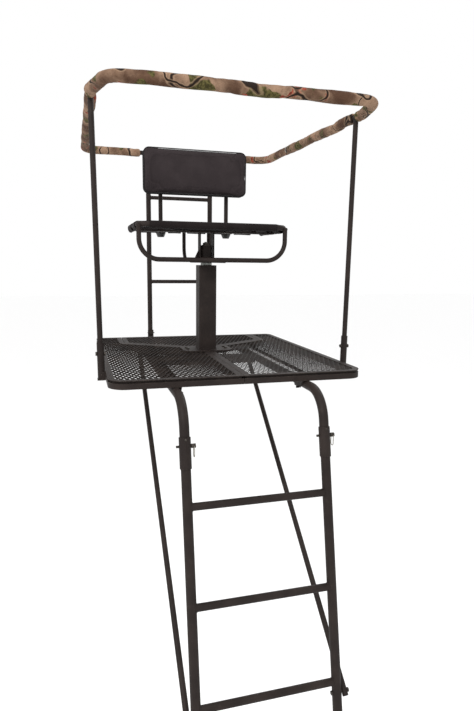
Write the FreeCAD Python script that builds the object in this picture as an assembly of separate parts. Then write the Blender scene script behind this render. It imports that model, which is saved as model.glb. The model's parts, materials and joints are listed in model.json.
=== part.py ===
import FreeCAD, Part
import math
import os

# Ladder tree stand, in millimetres. +X to the right, +Y towards the tree, +Z up.
# Everything is laid out from the front edge of the deck: x = 0 on the centre line,
# y = 0 at the deck's front edge and z = 0 at the deck's walking surface.
# export() then moves each piece so that the origin is on the ground, at the middle
# of the stand's footprint.

V = FreeCAD.Vector

# ---- driving dimensions ----
DECK_WIDTH = 914.0
DECK_DEPTH = 1060.0
DECK_HEIGHT = 2200.0            # walking surface above the ground
DECK_EDGE = 30.0                # height of the deck's rim
DECK_HALF = DECK_WIDTH / 2
SHEET = 2.5                     # flange and web thickness
RIM_WIDTH = 22.0                # width of the rim tube and of the flange above it
RIM_TUBE = 20.0                 # height of the rim tube
RIM_WALL = 1.5
RIM_GROOVE = 8.0                # depth of the groove between flange and rim tube
MESH = 1.6
MESH_TOP = -4.9                 # plain sheet that stands for raised mesh
RIB_WIDTH = 20.0
RIB_DEPTH = 4.0
PANEL_GAP = 1.0                 # half of the gap between two deck panels
REAR_HALF = 335.0               # half width of the rear panel
SEAM_SLOPE = 0.64               # rear seams, run back per unit sideways
SEAM_MID_Y = 638.0              # where the three panels meet
REAR_RIB_XS = (-200.0, 0.0, 200.0)
GAP = 0.1                       # clearance between pieces that touch
FIT = 0.05                      # running clearance on a radius

RAIL_OD = 32.0                  # ladder rail
RAIL_WALL = 1.6
RAIL_X = 237.0
LADDER_SLOPE = 0.204            # forward run per unit of drop
LADDER_Y = -110.0               # ladder line's y at the deck surface
BEAM_Z = -DECK_EDGE - RAIL_OD / 2 - GAP
BEAM_BACK_Y = 905.0
BEAM_BEND = 110.0
SLEEVE_OD = 38.0
SLEEVE_TOP = -157.0
SLEEVE_LENGTH = 96.0
RUNG_OD = 25.0
RUNG_TOP = -371.0
RUNG_STEP = 305.0
RUNGS = 6
FOOT_PLATE = 5.0

PIN_R = 4.0                     # hitch pins and M8 bolts
PIN_Z = SLEEVE_TOP - 28.0
PIN_FACE = SLEEVE_OD / 2 + 1.0  # from the rail's centre to the pin head's inner face
PIN_HEAD = 14.0
PIN_EYE = PIN_FACE + 9.0
RING_WIRE = 1.5
RING_HALF = 9.0
RING_DROP = 34.0

BRACE_OD = 20.0
BRACE_TOP_Y = 860.0
BRACE_FOOT_Z = -1016.0
BRACE_X = RAIL_X + RAIL_OD / 2 + BRACE_OD / 2 + 1.0
BRACE_END = 16.0                # brace beyond its bolt

POST_SIZE = 76.0
POST_Y = 598.0
POST_TOP = 369.0
HUB_Z = 379.0
HUB_TOP = 452.0
SPINDLE_R = 15.0
SPINDLE_STUD_R = 8.0
HUB_R = 24.0
HUB_PLATE_HALF = 50.0
HUB_PLATE_TOP = 400.0
HUB_PLATE_BACK = 700.0
BASE_HALF_X = 108.0
BASE_HALF_Y = 75.0
BASE_PLATE = 6.0
BASE_BOLTS = [(x, POST_Y + y) for x in (-85.0, 85.0) for y in (-18.0, 18.0)]
CROSSBAR_HALF = 30.0            # box section under the deck, along Y
CROSSBAR_TOP = -DECK_EDGE - GAP

SEAT_WIDTH = 630.0
SEAT_FRONT_Y = 430.0
SEAT_BACK_Y = 815.0
SEAT_Z = 527.0
SEAT_TUBE = 22.0
SEAT_BEND = 36.0
HOOP_Y = 448.0
HOOP_Z = 391.0
HOOP_OD = 19.0
SUPPORT_OD = 16.0
STRUT_X = 27.0
STRUT_SHEET = 5.0
STRUT_TOP = SEAT_Z - 21.0
TAB_TOP = SEAT_Z - 7.0
TAB_SHEET = 6.0
KNOB_HEIGHT = 19.0
KNOB_TOP = TAB_TOP - TAB_SHEET - GAP
BACK_POST_X = 157.0
BACK_POST_OD = 19.0
BACK_POST_Y = 862.0
BACK_BOARD = 4.0
PAD_WIDTH = 480.0
PAD_BOTTOM = 685.0
PAD_TOP = 887.0
PAD_DEPTH = 44.0
GUARD_X = 480.0                 # shooting rail, half width
GUARD_FRONT_Y = -17.0
GUARD_FRONT_X = 435.0           # corners of the front bar; its returns splay out from there
GUARD_SPLAY_Y = 150.0           # where the returns straighten
GUARD_FRONT_Z = 920.0
GUARD_REAR_Z = 934.0
GUARD_OD = 22.0
GUARD_PAD_OD = 42.0
GUARD_PAD_BORE = GUARD_OD + 1.0
GUARD_BEND = 60.0
GUARD_JOINT_Y = 187.0           # where the front bar's returns meet the side arms
GUARD_POST_Y = 198.0
GUARD_POST_OD = 19.0
SOCKET_X = DECK_HALF + 13.5
SOCKET_OD = 25.0
SOCKET_HEIGHT = 130.0
SOCKET_BOLT_Z = 60.0

TREE_Y = 1235.0                 # rear frame
TREE_X = 165.0
TREE_OD = 25.0
TREE_RUNGS = (275.0, 712.0)
TREE_RUNG_OD = 19.0
TREE_BOLT_Z = 2.0
STRAP = 5.0                     # bent strap in front of each upright
WING_FACE = TREE_Y - TREE_OD / 2 - STRAP - GAP
WING_ROOM = 26.0                # kept free in front of the strap for the wing nut
SEAM_BOLT_Z = -DECK_EDGE + RIM_TUBE / 2

# the footprint runs from the ladder's feet to the back of the rear padding
FOOT_HALF = 40.0
FOOT_Y = LADDER_Y - LADDER_SLOPE * (DECK_HEIGHT - FOOT_PLATE)
FRONT_Y = FOOT_Y - FOOT_HALF
BACK_Y = TREE_Y + GUARD_PAD_OD / 2
MID_Y = (FRONT_Y + BACK_Y) / 2


def export(node, shape):
    """Write one sub-part, moved to the ground-level origin."""
    moved = shape.copy()
    moved.translate(V(0, -MID_Y, DECK_HEIGHT))
    moved.exportStep("parts/" + node + ".step")


def box(x0, x1, y0, y1, z0, z1):
    return Part.makeBox(x1 - x0, y1 - y0, z1 - z0, V(x0, y0, z0))


def rod(start, end, radius):
    start, end = V(*start), V(*end)
    return Part.makeCylinder(radius, (end - start).Length, start, end - start)


def path(points, bend):
    """Straight runs joined by tangent arcs of one bend radius."""
    corners = [V(*p) for p in points]
    edges = []
    last = corners[0]
    for before, corner, after in zip(corners, corners[1:], corners[2:]):
        back = (before - corner).normalize()
        on = (after - corner).normalize()
        half = back.getAngle(on) / 2
        setback = bend / math.tan(half)
        middle = (back + on).normalize()
        centre = corner + middle * (bend / math.sin(half))
        first = corner + back * setback
        second = corner + on * setback
        edges.append(Part.LineSegment(last, first).toShape())
        edges.append(Part.Arc(first, centre - middle * bend, second).toShape())
        last = second
    edges.append(Part.LineSegment(last, corners[-1]).toShape())
    return Part.Wire(edges)


def bar(points, radius, bend):
    """A round solid bar along a bent path."""
    spine = path(points, bend)
    start = V(*points[0])
    ring = Part.Wire(Part.makeCircle(radius, start, V(*points[1]) - start))
    return spine.makePipeShell([ring], True, False)


def tube(points, od, wall, bend=1.0):
    """A round hollow tube along a bent path."""
    return bar(points, od / 2, bend).cut(bar(points, od / 2 - wall, bend))


def both(node, make):
    """Write the left and the right copy of a sub-part; make takes the side, -1 or 1."""
    for side, name in ((-1, "left"), (1, "right")):
        export(node + "_" + name, make(side))


def group(shapes):
    return Part.makeCompound(list(shapes))


def pair(make):
    """The left and the right copy of a sub-part as two solids of one node."""
    return group(make(side) for side in (-1, 1))


def bolt(start, end, head_r=7.0, head=5.0, radius=PIN_R):
    """A bolt with a round head at start and a nut at end, outside the clamped pieces."""
    start, end = V(*start), V(*end)
    along = (end - start).normalize()
    shank = Part.makeCylinder(radius, (end - start).Length + head, start, along)
    top = Part.makeCylinder(head_r, head, start - along * head, along)
    hexagon = [
        end + turned(along, head_r, step * 60) for step in range(7)
    ]
    nut = Part.Face(Part.makePolygon(hexagon)).extrude(along * head)
    return shank.fuse(top).fuse(nut).removeSplitter()


def turned(along, radius, degrees):
    """A radius vector at right angles to along, turned about it."""
    across = along.cross(V(0, 0, 1)) if abs(along.z) < 0.9 else along.cross(V(0, 1, 0))
    across = across.normalize() * radius
    return FreeCAD.Rotation(along, degrees).multVec(across)


def ladder_y(z):
    return LADDER_Y + LADDER_SLOPE * z


def ladder_point(side, z, x=RAIL_X):
    return (side * x, ladder_y(z), z)


# ---- deck ----
def rounded(points, radii):
    """A closed outline with its corners rounded by the given radii."""
    corners = [V(x, y, 0) for x, y in points]
    count = len(corners)
    edges = []
    ends = []
    for i, corner in enumerate(corners):
        back = (corners[i - 1] - corner).normalize()
        on = (corners[(i + 1) % count] - corner).normalize()
        if radii[i] == 0:
            ends.append((corner, corner, None))
            continue
        half = back.getAngle(on) / 2
        setback = radii[i] / math.tan(half)
        middle = (back + on).normalize()
        rim = corner + middle * (radii[i] / math.sin(half) - radii[i])
        ends.append((corner + back * setback, corner + on * setback, rim))
    for i, (first, second, rim) in enumerate(ends):
        if rim is not None:
            edges.append(Part.Arc(first, rim, second).toShape())
        edges.append(Part.LineSegment(second, ends[(i + 1) % count][0]).toShape())
    return Part.Face(Part.Wire(edges))


def panel_outline(kind):
    """Outer outline of a deck panel: side -1 or 1 for a front panel, 0 for the rear one."""
    lift = PANEL_GAP * math.hypot(1, SEAM_SLOPE)
    side_y = SEAM_MID_Y + SEAM_SLOPE * REAR_HALF
    if kind:
        notch = REAR_HALF + PANEL_GAP
        points = [(kind * PANEL_GAP, 0), (kind * DECK_HALF, 0), (kind * DECK_HALF, DECK_DEPTH),
                  (kind * notch, DECK_DEPTH), (kind * notch, side_y - lift),
                  (kind * PANEL_GAP, SEAM_MID_Y - lift)]
        radii = [0, 60, 30, 0, 42, 0]
    else:
        half = REAR_HALF - PANEL_GAP
        points = [(-half, side_y + lift), (0, SEAM_MID_Y + lift), (half, side_y + lift),
                  (half, DECK_DEPTH), (-half, DECK_DEPTH)]
        radii = [40, 0, 40, 0, 0]
    return rounded(points, radii)


def prism(face, z0, z1):
    solid = face.extrude(V(0, 0, z1 - z0))
    solid.translate(V(0, 0, z0))
    return solid


def ring(outline, outer, inner, z0, z1):
    """A band between two insets of an outline."""
    outside = outline if outer == 0 else outline.makeOffset2D(-outer)
    return prism(outside, z0, z1).cut(prism(outline.makeOffset2D(-inner), z0, z1))


def deck_frame(kind):
    """Rim tube, the web and flange above it, and the flat ribs that carry the mesh."""
    outline = panel_outline(kind)
    low, high = -DECK_EDGE, -DECK_EDGE + RIM_TUBE
    frame = ring(outline, 0, RIM_WIDTH, low, high)
    hollow = ring(outline, RIM_WALL, RIM_WIDTH - RIM_WALL, low + RIM_WALL, high - RIM_WALL)
    frame = frame.cut(hollow)
    frame = frame.fuse(ring(outline, RIM_GROOVE, RIM_GROOVE + SHEET, high, 0))
    frame = frame.fuse(ring(outline, 0, RIM_WIDTH, -SHEET, 0))
    rib_top = MESH_TOP - MESH
    inside = prism(outline.makeOffset2D(-RIM_GROOVE - SHEET / 2), rib_top - RIB_DEPTH, rib_top)
    half = RIB_WIDTH / 2
    for x in [kind * RAIL_X] if kind else REAR_RIB_XS:
        rib = box(x - half, x + half, 0, DECK_DEPTH, low, 0)
        frame = frame.fuse(rib.common(inside))
    return frame.removeSplitter().cut(base_bolt_holes())


def deck_mesh(kind):
    inset = RIM_GROOVE + SHEET + 0.5
    sheet = prism(panel_outline(kind).makeOffset2D(-inset), MESH_TOP - MESH, MESH_TOP)
    return sheet.cut(base_bolt_holes())


def base_bolt_holes():
    return group(
        rod((x, y, -100), (x, y, 20), PIN_R + FIT) for x, y in BASE_BOLTS
    )


def base_plate():
    cut = 22.0
    xs, ys = BASE_HALF_X, BASE_HALF_Y
    outline = [(-xs + cut, -ys), (xs - cut, -ys), (xs, -ys + cut), (xs, ys - cut),
               (xs - cut, ys), (-xs + cut, ys), (-xs, ys - cut), (-xs, -ys + cut)]
    face = Part.Face(Part.makePolygon([V(x, POST_Y + y, 0) for x, y in outline + outline[:1]]))
    return face.extrude(V(0, 0, BASE_PLATE)).cut(base_bolt_holes())


def crossbar():
    """The box section under the deck that carries the seat post."""
    length = RAIL_X - RAIL_OD / 2 - GAP
    z0, z1 = CROSSBAR_TOP - RAIL_OD, CROSSBAR_TOP
    y0, y1 = POST_Y - CROSSBAR_HALF, POST_Y + CROSSBAR_HALF
    outer = box(-length, length, y0, y1, z0, z1)
    inner = box(-length, length, y0 + 2, y1 - 2, z0 + 2, z1 - 2)
    return outer.cut(inner).cut(base_bolt_holes())


def base_bolts():
    low = CROSSBAR_TOP - RAIL_OD
    return group(bolt((x, y, BASE_PLATE), (x, y, low)) for x, y in BASE_BOLTS)


# ---- beams and ladder ----
def beam_points(side):
    return [(side * RAIL_X, BEAM_BACK_Y, BEAM_Z),
            (side * RAIL_X, ladder_y(BEAM_Z), BEAM_Z),
            ladder_point(side, SLEEVE_TOP - 52)]


def cross_hole(side, y, z, radius=PIN_R + FIT):
    return rod((side * (RAIL_X - 60), y, z), (side * (RAIL_X + 60), y, z), radius)


def beam(side):
    """Bent tube: it lies under the deck and turns down into the ladder's sleeve."""
    shape = tube(beam_points(side), RAIL_OD, RAIL_WALL, BEAM_BEND)
    shape = shape.cut(cross_hole(side, ladder_y(PIN_Z), PIN_Z))
    return shape.cut(cross_hole(side, BRACE_TOP_Y, BEAM_Z))


def sleeve(side):
    top = ladder_point(side, SLEEVE_TOP)
    low = ladder_point(side, SLEEVE_TOP - SLEEVE_LENGTH)
    shape = rod(top, low, SLEEVE_OD / 2).cut(rod(top, low, RAIL_OD / 2 + FIT))
    return shape.cut(cross_hole(side, ladder_y(PIN_Z), PIN_Z))


def ladder_rail_solid(side, radius):
    top = ladder_point(side, SLEEVE_TOP - 56)
    foot = ladder_point(side, -DECK_HEIGHT - 40)
    ground = box(-900, 900, -1500, 1500, -DECK_HEIGHT - 200, -DECK_HEIGHT + FOOT_PLATE)
    return rod(top, foot, radius).cut(ground)


def ladder_rail(side):
    shape = ladder_rail_solid(side, RAIL_OD / 2)
    shape = shape.cut(ladder_rail_solid(side, RAIL_OD / 2 - RAIL_WALL))
    return shape.cut(cross_hole(side, ladder_y(BRACE_FOOT_Z), BRACE_FOOT_Z))


def ladder_rung(index):
    z = RUNG_TOP - index * RUNG_STEP
    y = ladder_y(z)
    ends = (-RAIL_X, y, z), (RAIL_X, y, z)
    shape = rod(*ends, RUNG_OD / 2).cut(rod(*ends, RUNG_OD / 2 - 1.5))
    for side in (-1, 1):
        shape = shape.cut(rod(ladder_point(side, z + 60), ladder_point(side, z - 60), RAIL_OD / 2))
    return shape


def foot(side):
    """Ground plate under a rail, with a stake hole on its outer side."""
    x, y = side * (RAIL_X + 12), FOOT_Y
    face = rounded([(x - 44, y - FOOT_HALF), (x + 44, y - FOOT_HALF),
                    (x + 44, y + FOOT_HALF), (x - 44, y + FOOT_HALF)], [10, 10, 10, 10])
    plate = prism(face, -DECK_HEIGHT, -DECK_HEIGHT + FOOT_PLATE)
    hole_x = side * (RAIL_X + 38)
    return plate.cut(rod((hole_x, y, -DECK_HEIGHT - 1), (hole_x, y, -DECK_HEIGHT + 20), 5.5))


def brace_ends(side):
    top = V(side * BRACE_X, BRACE_TOP_Y, BEAM_Z)
    low = V(side * BRACE_X, ladder_y(BRACE_FOOT_Z), BRACE_FOOT_Z)
    along = (low - top).normalize()
    return top - along * BRACE_END, low + along * BRACE_END


def brace(side):
    top, low = brace_ends(side)
    shape = rod(top, low, BRACE_OD / 2).cut(rod(top, low, BRACE_OD / 2 - 1.4))
    shape = shape.cut(cross_hole(side, BRACE_TOP_Y, BEAM_Z))
    return shape.cut(cross_hole(side, ladder_y(BRACE_FOOT_Z), BRACE_FOOT_Z))


def brace_bolts():
    outer = BRACE_X + BRACE_OD / 2
    inner = RAIL_X - RAIL_OD / 2
    spots = ((BRACE_TOP_Y, BEAM_Z), (ladder_y(BRACE_FOOT_Z), BRACE_FOOT_Z))
    return group(
        bolt((side * outer, y, z), (side * inner, y, z)) for side in (-1, 1) for y, z in spots
    )


# ---- hitch pins at the sleeves ----
def hitch_pin(side):
    """Pin through the sleeve and the beam; its head and eye are on the right."""
    x, y, z = side * RAIL_X, ladder_y(PIN_Z), PIN_Z
    shank = rod((x + PIN_FACE, y, z), (x - SLEEVE_OD / 2 - 9, y, z), PIN_R)
    head = rod((x + PIN_FACE + PIN_HEAD, y, z), (x + PIN_FACE, y, z), 7.0)
    eye = rod((x + PIN_EYE, y - 20, z - 2), (x + PIN_EYE, y + 20, z - 2), RING_WIRE + FIT)
    return head.fuse(shank).removeSplitter().cut(eye)


def pin_ring(side):
    """Wire bail that hangs in the pin's eye."""
    x, y, z = side * RAIL_X + PIN_EYE, ladder_y(PIN_Z), PIN_Z - 2
    half, low = RING_HALF, z - RING_DROP
    points = [(x, y - half, z), (x, y - half, low), (x, y + half, low), (x, y + half, z)]
    axle = rod((x, y - half, z), (x, y + half, z), RING_WIRE)
    return bar(points, RING_WIRE, RING_HALF - 1).fuse(axle).removeSplitter()


# ---- gussets between beam and deck ----
def gusset(side):
    """Plate that ties the beam to the deck's front rim, on the beam's inner side."""
    x = side * (RAIL_X - RAIL_OD / 2 - 4.2)
    face = Part.Face(Part.makePolygon([
        V(x, 4, CROSSBAR_TOP), V(x, 92, CROSSBAR_TOP), V(x, 80, BEAM_Z - 14),
        V(x, 30, BEAM_Z - 14), V(x, 4, CROSSBAR_TOP)]))
    plate = face.extrude(V(side * 4, 0, 0))
    tooth = rod((x, 40, BEAM_Z - 13), (x - side * 9, 40, BEAM_Z - 13), 4.0)
    return plate.fuse(tooth).removeSplitter()


# ---- seat post and swivel ----
def seat_post():
    half = POST_SIZE / 2
    outer = box(-half, half, POST_Y - half, POST_Y + half, BASE_PLATE, POST_TOP)
    upright = [e for e in outer.Edges if abs(e.tangentAt(e.FirstParameter).z) > 0.9]
    room = half - 3
    inner = box(-room, room, POST_Y - room, POST_Y + room, BASE_PLATE, POST_TOP - 6)
    return outer.makeFillet(6, upright).cut(inner)


def spindle():
    """Shouldered spindle on the post: the seat's hub turns on it."""
    shoulder = rod((0, POST_Y, POST_TOP), (0, POST_Y, HUB_Z - GAP), HUB_R)
    shaft = rod((0, POST_Y, POST_TOP), (0, POST_Y, HUB_TOP + GAP), SPINDLE_R)
    stud = rod((0, POST_Y, HUB_TOP), (0, POST_Y, HUB_TOP + 16), SPINDLE_STUD_R)
    return shoulder.fuse(shaft).fuse(stud).removeSplitter()


def spindle_nut():
    z = HUB_TOP + GAP
    washer = rod((0, POST_Y, z), (0, POST_Y, z + 3), 21)
    corners = [V(0, POST_Y, z + 3) + turned(V(0, 0, 1), 15, k * 60) for k in range(7)]
    nut = Part.Face(Part.makePolygon(corners)).extrude(V(0, 0, 9))
    hole = rod((0, POST_Y, z - 1), (0, POST_Y, z + 20), SPINDLE_STUD_R)
    return washer.fuse(nut).removeSplitter().cut(hole)


def swivel_hub():
    """Hub tube in a channel, with a gusset and the two flat struts that carry the seat."""
    half, top = HUB_PLATE_HALF, HUB_PLATE_TOP
    y0, y1 = HOOP_Y + HOOP_OD / 2, HUB_PLATE_BACK
    shape = box(-half, half, y0, y1, top - 5, top)
    for side in (-1, 1):
        inner, outer = sorted((side * (half - 4), side * half))
        shape = shape.fuse(box(inner, outer, y0, y1, HUB_Z, top))
        inner, outer = sorted((side * STRUT_X, side * (STRUT_X + STRUT_SHEET)))
        shape = shape.fuse(box(inner, outer, POST_Y - 19, POST_Y + 19, top, STRUT_TOP))
    shape = shape.fuse(rod((0, POST_Y, HUB_Z), (0, POST_Y, HUB_TOP), HUB_R))
    strut, y = -STRUT_X - STRUT_SHEET, POST_Y - 3
    left = Part.makePolygon([V(-half, y, top), V(strut, y, top), V(strut, y, top + 38),
                             V(-half, y, top)])
    shape = shape.fuse(Part.Face(left).extrude(V(0, 6, 0)))
    back = Part.makePolygon([V(-3, POST_Y + 70, top), V(-3, POST_Y + 20, top),
                             V(-3, POST_Y + 20, top + 44), V(-3, POST_Y + 70, top)])
    shape = shape.fuse(Part.Face(back).extrude(V(6, 0, 0)))
    bore = rod((0, POST_Y, HUB_Z - 1), (0, POST_Y, HUB_TOP + 1), SPINDLE_R + FIT)
    return shape.removeSplitter().cut(bore)


# ---- seat ----
def seat_loop(radius):
    """The seat's perimeter tube as a solid bar of the given radius."""
    inset = SEAT_TUBE / 2
    x, y0, y1 = SEAT_WIDTH / 2 - inset, SEAT_FRONT_Y + inset, SEAT_BACK_Y - inset
    outline = rounded([(-x, y0), (x, y0), (x, y1), (-x, y1)], [SEAT_BEND] * 4).OuterWire
    outline.translate(V(0, 0, SEAT_Z))
    first = outline.Edges[0]
    start = first.valueAt(first.FirstParameter)
    ring = Part.Wire(Part.makeCircle(radius, start, first.tangentAt(first.FirstParameter)))
    return outline.makePipeShell([ring], True, False)


def seat_frame():
    return seat_loop(SEAT_TUBE / 2).cut(seat_loop(SEAT_TUBE / 2 - 1.5))


def seat_sling():
    """Slab of the fabric sling between the tubes, sagging below them."""
    gap = SEAT_TUBE + 1.5
    x, y0, y1 = SEAT_WIDTH / 2 - gap, SEAT_FRONT_Y + gap, SEAT_BACK_Y - gap
    face = rounded([(-x, y0), (x, y0), (x, y1), (-x, y1)], [SEAT_BEND - SEAT_TUBE / 2] * 4)
    return prism(face, SEAT_Z - 14, SEAT_Z + 8)


def seat_hoop():
    """Bent bar under the seat's front."""
    x = SEAT_WIDTH / 2 - SEAT_TUBE / 2
    z = SEAT_Z - GAP
    points = [(-x, HOOP_Y, z), (-x, HOOP_Y, HOOP_Z), (x, HOOP_Y, HOOP_Z), (x, HOOP_Y, z)]
    return tube(points, HOOP_OD, 1.5, 80).cut(seat_loop(SEAT_TUBE / 2))


def seat_support(side):
    """Bent bar from the side of the hub's channel back and up to the seat's rear tube."""
    x, z = side * (HUB_PLATE_HALF + SUPPORT_OD / 2 + GAP), HUB_Z + 11
    y = SEAT_BACK_Y - SEAT_TUBE / 2
    points = [(x, POST_Y - 10, z), (x, y, z), (x, y, SEAT_Z - GAP)]
    return tube(points, SUPPORT_OD, 1.5, 60).cut(seat_loop(SEAT_TUBE / 2))


def seat_crossbar():
    """Flat bar under the sling from one side tube to the other, on the struts."""
    x = SEAT_WIDTH / 2 - SEAT_TUBE / 2
    y0, y1, low = POST_Y - 20, POST_Y + 20, STRUT_TOP + GAP
    shape = box(-x, x, y0, y1, low, SEAT_Z - 14.5)
    tabs = box(-x, x, y0, y1, low, SEAT_Z)
    middle = box(-x + SEAT_TUBE / 2, x - SEAT_TUBE / 2, y0, y1, low, SEAT_Z)
    return shape.fuse(tabs.cut(middle)).removeSplitter().cut(seat_loop(SEAT_TUBE / 2))


# ---- backrest ----
def back_post(side):
    """Tube with a plug and a threaded stud at its foot."""
    x = side * BACK_POST_X
    ends = (x, BACK_POST_Y, TAB_TOP + 12), (x, BACK_POST_Y, PAD_TOP - 30)
    wall = rod(*ends, BACK_POST_OD / 2).cut(rod(*ends, BACK_POST_OD / 2 - 1.5))
    plug = rod((x, BACK_POST_Y, TAB_TOP), ends[0], BACK_POST_OD / 2)
    stud = rod((x, BACK_POST_Y, KNOB_TOP - KNOB_HEIGHT + 3), (x, BACK_POST_Y, TAB_TOP), PIN_R)
    return wall.fuse(plug).fuse(stud).removeSplitter()


def back_tab(side):
    """Tab on the seat's rear tube that a backrest post stands on."""
    x = side * BACK_POST_X
    shape = box(x - 17, x + 17, SEAT_BACK_Y - 12, BACK_POST_Y + 15, TAB_TOP - TAB_SHEET, TAB_TOP)
    hole = rod((x, BACK_POST_Y, 0), (x, BACK_POST_Y, 1000), PIN_R + FIT)
    return shape.cut(hole).cut(seat_loop(SEAT_TUBE / 2))


def back_knob(side):
    """Tapered hand knob with finger flutes, under the tab."""
    x = side * BACK_POST_X
    low = V(x, BACK_POST_Y, KNOB_TOP - KNOB_HEIGHT)
    shape = Part.makeCone(15, 23, KNOB_HEIGHT, low)
    for k in range(7):
        turn = math.radians(360 / 7 * k)
        centre = low + V(27 * math.cos(turn), 27 * math.sin(turn), -1)
        shape = shape.cut(Part.makeCylinder(7, KNOB_HEIGHT + 2, centre))
    return shape.cut(rod((x, BACK_POST_Y, 0), (x, BACK_POST_Y, 1000), PIN_R + FIT))


def back_board():
    """Stiffening board behind the cushion; the posts are riveted to it."""
    y = BACK_POST_Y - BACK_POST_OD / 2
    half = PAD_WIDTH / 2 - 14
    return box(-half, half, y - BACK_BOARD, y, PAD_BOTTOM + 12, PAD_TOP - 12)


def back_rivets():
    y = BACK_POST_Y + BACK_POST_OD / 2
    return group(
        rod((side * BACK_POST_X, y, z), (side * BACK_POST_X, y + 3, z), 5)
        for side in (-1, 1) for z in (PAD_BOTTOM + 45, PAD_TOP - 55)
    )


def back_pad():
    y = BACK_POST_Y - BACK_POST_OD / 2 - BACK_BOARD - GAP
    half = PAD_WIDTH / 2
    slab = box(-half, half, y - PAD_DEPTH, y, PAD_BOTTOM, PAD_TOP)
    corners = [e for e in slab.Edges if abs(e.tangentAt(e.FirstParameter).y) > 0.9]
    return slab.makeFillet(26, corners)


# ---- shooting rail ----
def guard_z(y):
    """Height of a side arm's centre line."""
    share = (y - GUARD_JOINT_Y) / (TREE_Y - GUARD_JOINT_Y)
    return GUARD_FRONT_Z + (GUARD_REAR_Z - GUARD_FRONT_Z) * share


def guard_front_points(reach):
    half = [(GUARD_FRONT_X, GUARD_FRONT_Y), (GUARD_X, GUARD_SPLAY_Y), (GUARD_X, reach)]
    left = [(-x, y, GUARD_FRONT_Z) for x, y in reversed(half)]
    return left + [(x, y, GUARD_FRONT_Z) for x, y in half]


def guard_front():
    return tube(guard_front_points(GUARD_JOINT_Y), GUARD_OD, 1.5, GUARD_BEND)


def guard_arm_points(side):
    front_z, rear_z = GUARD_FRONT_Z, GUARD_REAR_Z
    return [(side * GUARD_X, GUARD_JOINT_Y + 2 * GAP, front_z), (side * GUARD_X, TREE_Y, rear_z),
            (side * TREE_X, TREE_Y, rear_z)]


def guard_arm(side):
    shape = tube(guard_arm_points(side), GUARD_OD, 1.5, GUARD_BEND)
    upright = rod((side * TREE_X, TREE_Y, 0), (side * TREE_X, TREE_Y, 2000), TREE_OD / 2 + GAP)
    z = GUARD_REAR_Z
    inner = box(-TREE_X, TREE_X, TREE_Y - 60, TREE_Y + 60, z - 100, z + 100)
    return shape.cut(upright).cut(inner)


def padding(points, bend):
    """Foam sleeve round a rail tube."""
    return bar(points, GUARD_PAD_OD / 2, bend).cut(bar(points, GUARD_PAD_BORE / 2, bend))


def pad_front():
    return padding(guard_front_points(GUARD_JOINT_Y - 1), GUARD_BEND)


def pad_arm(side):
    """From behind the post, round the rear bend, to beside the upright."""
    y0 = GUARD_POST_Y + GUARD_POST_OD / 2 + 2.5
    points = [(side * GUARD_X, y0, guard_z(y0)), (side * GUARD_X, TREE_Y, GUARD_REAR_Z),
              (side * (TREE_X + 40), TREE_Y, GUARD_REAR_Z)]
    return padding(points, GUARD_BEND)


def guard_post_line(side):
    low = V(side * SOCKET_X, GUARD_POST_Y, -DECK_EDGE + 2)
    top = V(side * GUARD_X, GUARD_POST_Y, guard_z(GUARD_POST_Y))
    return low, top


def guard_post(side):
    low, top = guard_post_line(side)
    shape = rod(low, top, GUARD_POST_OD / 2).cut(rod(low, top, GUARD_POST_OD / 2 - 1.5))
    line = guard_arm_points(side)[:2]
    return shape.cut(rod(*line, GUARD_OD / 2 + FIT)).cut(socket_bolt_hole(side))


def socket_bolt_hole(side):
    return rod((side * (SOCKET_X - 40), GUARD_POST_Y, SOCKET_BOLT_Z),
               (side * (SOCKET_X + 60), GUARD_POST_Y, SOCKET_BOLT_Z), PIN_R + FIT)


def guard_socket(side):
    """Socket on the deck's side rim that takes a rail post."""
    low, top = guard_post_line(side)
    along = (top - low).normalize()
    high = low + along * (SOCKET_HEIGHT - 2)
    shape = rod(low - along * 2, high, SOCKET_OD / 2)
    x0, x1 = sorted((side * DECK_HALF, side * SOCKET_X))
    tab = box(x0, x1, GUARD_POST_Y - 14, GUARD_POST_Y + 14, -DECK_EDGE, -3)
    x0, x1 = sorted((side * DECK_HALF, side * (SOCKET_X + 14)))
    foot_strip = box(x0, x1, GUARD_POST_Y - 16, GUARD_POST_Y + 16, -DECK_EDGE - 3, -DECK_EDGE + 1)
    shape = shape.fuse(tab).fuse(foot_strip)
    shape = shape.cut(rod(low, high + along * 5, GUARD_POST_OD / 2 + FIT))
    rim = box(-DECK_HALF, DECK_HALF, 0, DECK_DEPTH, -100, 200)
    return shape.cut(rim).removeSplitter().cut(socket_bolt_hole(side))


def guard_bolts():
    """Bolts across the sockets, through the rail posts' feet."""
    shapes = []
    reach = SOCKET_OD / 2 + GAP
    for side in (-1, 1):
        low, top = guard_post_line(side)
        share = (SOCKET_BOLT_Z - low.z) / (top.z - low.z)
        x = low.x + (top.x - low.x) * share
        shapes.append(bolt((x + side * reach, GUARD_POST_Y, SOCKET_BOLT_Z),
                           (x - side * reach, GUARD_POST_Y, SOCKET_BOLT_Z)))
    return group(shapes)


# ---- rear frame against the tree ----
def tree_bolt_hole(side):
    x = side * TREE_X
    return rod((x, TREE_Y - 60, TREE_BOLT_Z), (x, TREE_Y + 60, TREE_BOLT_Z), PIN_R + FIT)


def tree_upright_solid(side, radius):
    x = side * TREE_X
    return rod((x, TREE_Y, -22), (x, TREE_Y, GUARD_REAR_Z + 16), radius)


def tree_upright(side):
    shape = tree_upright_solid(side, TREE_OD / 2).cut(tree_upright_solid(side, TREE_OD / 2 - 1.6))
    return shape.cut(tree_bolt_hole(side))


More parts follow.
